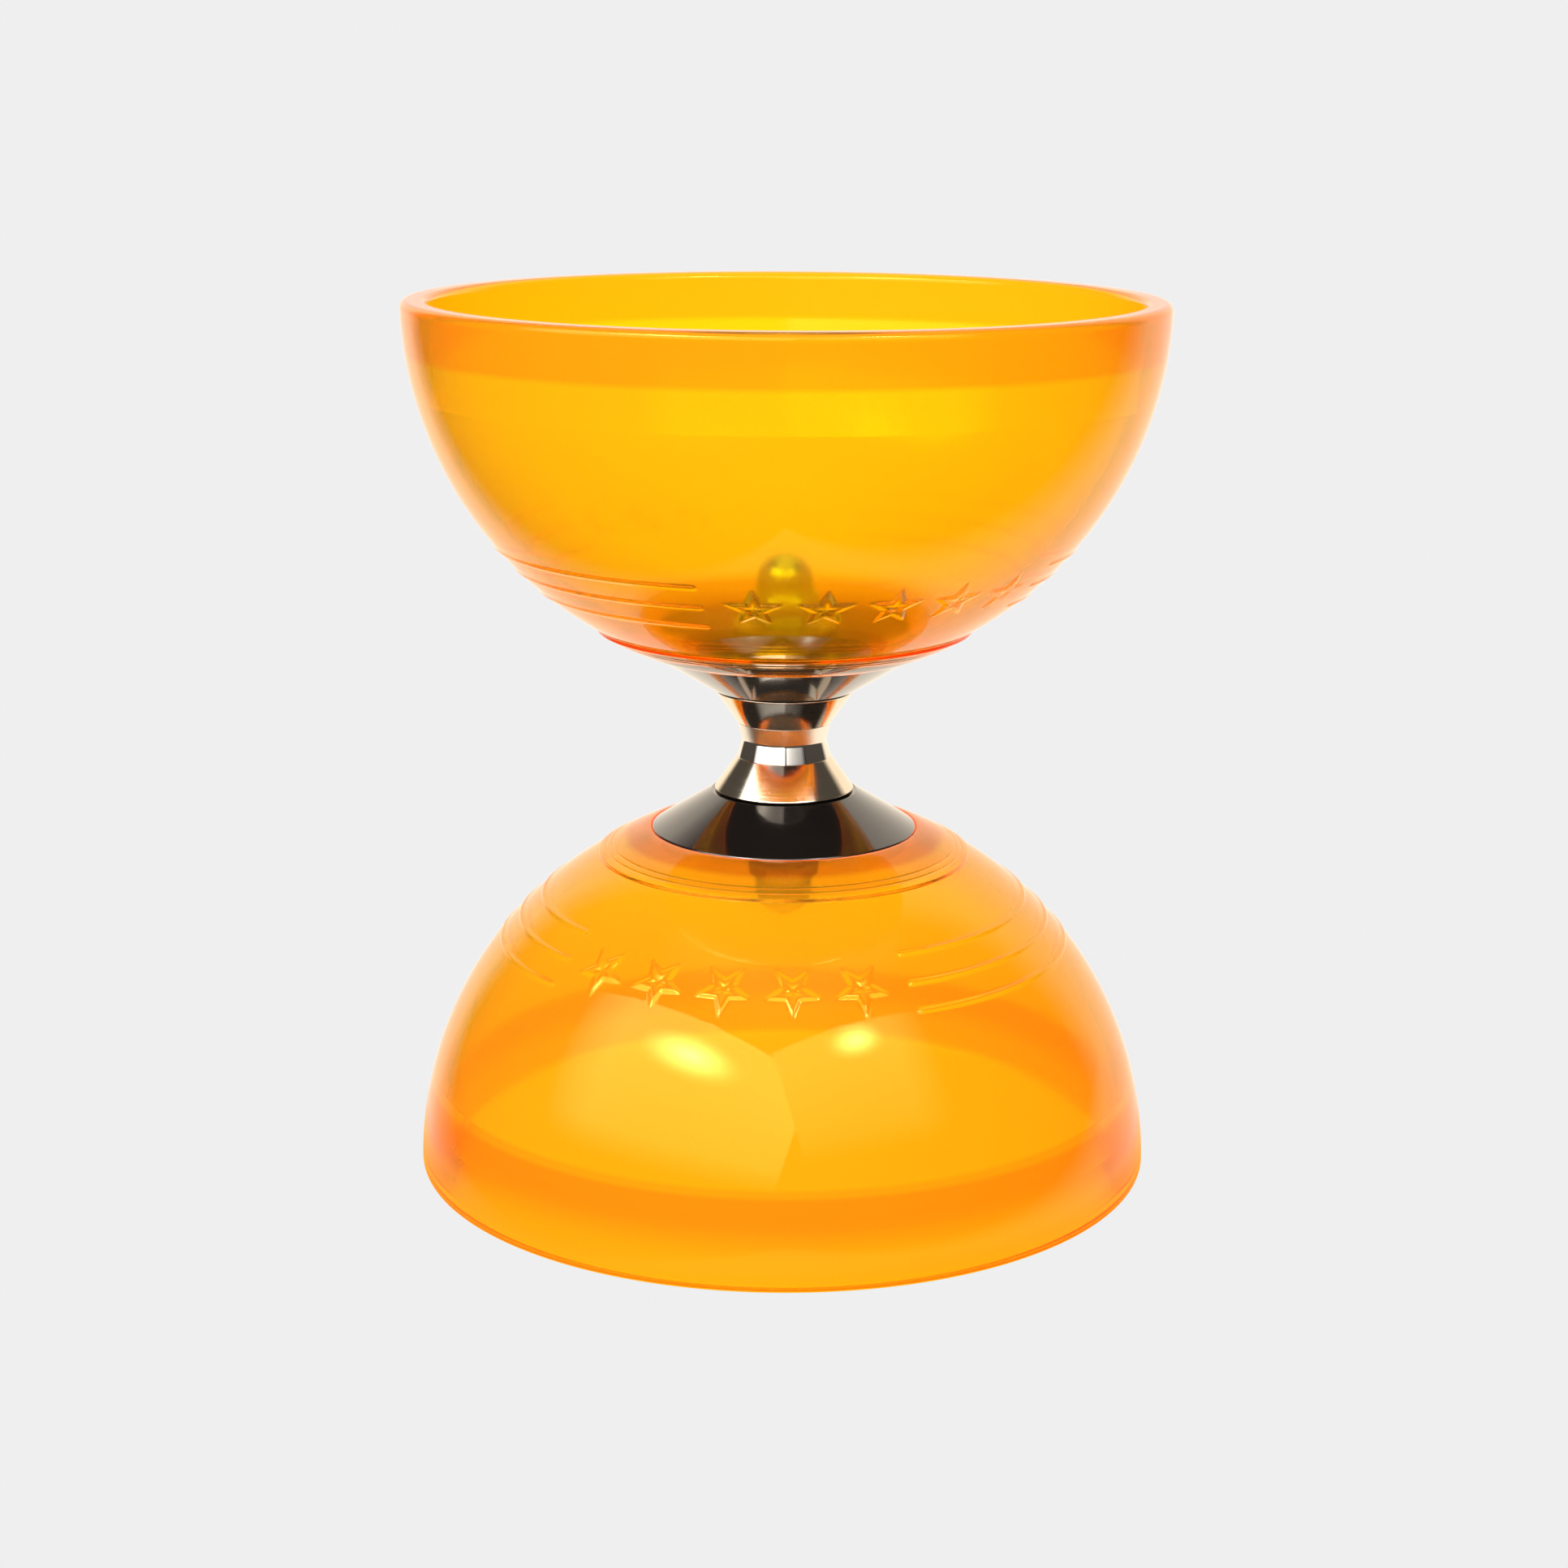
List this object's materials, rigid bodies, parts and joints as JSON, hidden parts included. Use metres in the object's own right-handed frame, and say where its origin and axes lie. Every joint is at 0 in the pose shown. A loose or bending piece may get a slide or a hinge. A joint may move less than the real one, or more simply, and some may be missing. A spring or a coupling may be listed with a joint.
{
  "type": "diabolo",
  "caption": "Bearing diabolo: two translucent orange cups on a through-axle, black hub cones and a free-turning metal string drum between them.",
  "frame": {"origin": "middle of the string groove, on the axle", "axes": "+Z along the axle, towards the upper cup; -Y faces the viewer; +X to the viewer's right"},
  "size_m": [0.125, 0.125, 0.147],
  "materials": {
    "cup": "smooth clear orange polyurethane, glossy outside and inside",
    "hub": "glossy black moulding",
    "sleeve": "polished by the string",
    "flank": "fine turned finish",
    "fastener": "zinc-plated",
    "bearing_steel": "ground bearing steel",
    "bearing_cage": "plain"
  },
  "bodies": {
    "cups_and_axle": {"upper_cup": "cup", "lower_cup": "cup", "upper_hub_cone": "hub", "lower_hub_cone": "hub", "axle_rod": "fastener", "upper_washer": "fastener", "lower_washer": "fastener", "upper_dome_nut": "fastener", "lower_dome_nut": "fastener", "upper_end_spacer": "fastener", "lower_end_spacer": "fastener", "upper_inner_spacer": "fastener", "lower_inner_spacer": "fastener", "upper_bearing_inner_ring": "bearing_steel", "middle_bearing_inner_ring": "bearing_steel", "lower_bearing_inner_ring": "bearing_steel"},
    "string_drum": {"drum_sleeve": "sleeve", "upper_drum_flank": "flank", "lower_drum_flank": "flank", "upper_outer_spacer": "fastener", "lower_outer_spacer": "fastener", "upper_bearing_outer_ring": "bearing_steel", "middle_bearing_outer_ring": "bearing_steel", "lower_bearing_outer_ring": "bearing_steel", "upper_bearing_shields": "bearing_steel", "middle_bearing_shields": "bearing_steel", "lower_bearing_shields": "bearing_steel"},
    "upper_ball_set": {"upper_bearing_cage": "bearing_cage", "upper_bearing_balls": "bearing_steel"},
    "middle_ball_set": {"middle_bearing_cage": "bearing_cage", "middle_bearing_balls": "bearing_steel"},
    "lower_ball_set": {"lower_bearing_cage": "bearing_cage", "lower_bearing_balls": "bearing_steel"}
  },
  "joints": [
    {"name": "drum_spin", "type": "hinge", "parent": "cups_and_axle", "child": "string_drum", "pos_m": [0, 0, 0], "axis": [0, 0, 1], "continuous": true},
    {"name": "upper_ball_set_roll", "type": "hinge", "parent": "cups_and_axle", "child": "upper_ball_set", "pos_m": [0, 0, 0.005], "axis": [0, 0, 1], "continuous": true},
    {"name": "middle_ball_set_roll", "type": "hinge", "parent": "cups_and_axle", "child": "middle_ball_set", "pos_m": [0, 0, 0], "axis": [0, 0, 1], "continuous": true},
    {"name": "lower_ball_set_roll", "type": "hinge", "parent": "cups_and_axle", "child": "lower_ball_set", "pos_m": [0, 0, -0.005], "axis": [0, 0, 1], "continuous": true}
  ],
  "couplings": [
    {"joint": "upper_ball_set_roll", "follows": "drum_spin", "ratio": 0.5878},
    {"joint": "middle_ball_set_roll", "follows": "drum_spin", "ratio": 0.5878},
    {"joint": "lower_ball_set_roll", "follows": "drum_spin", "ratio": 0.5878}
  ]
}
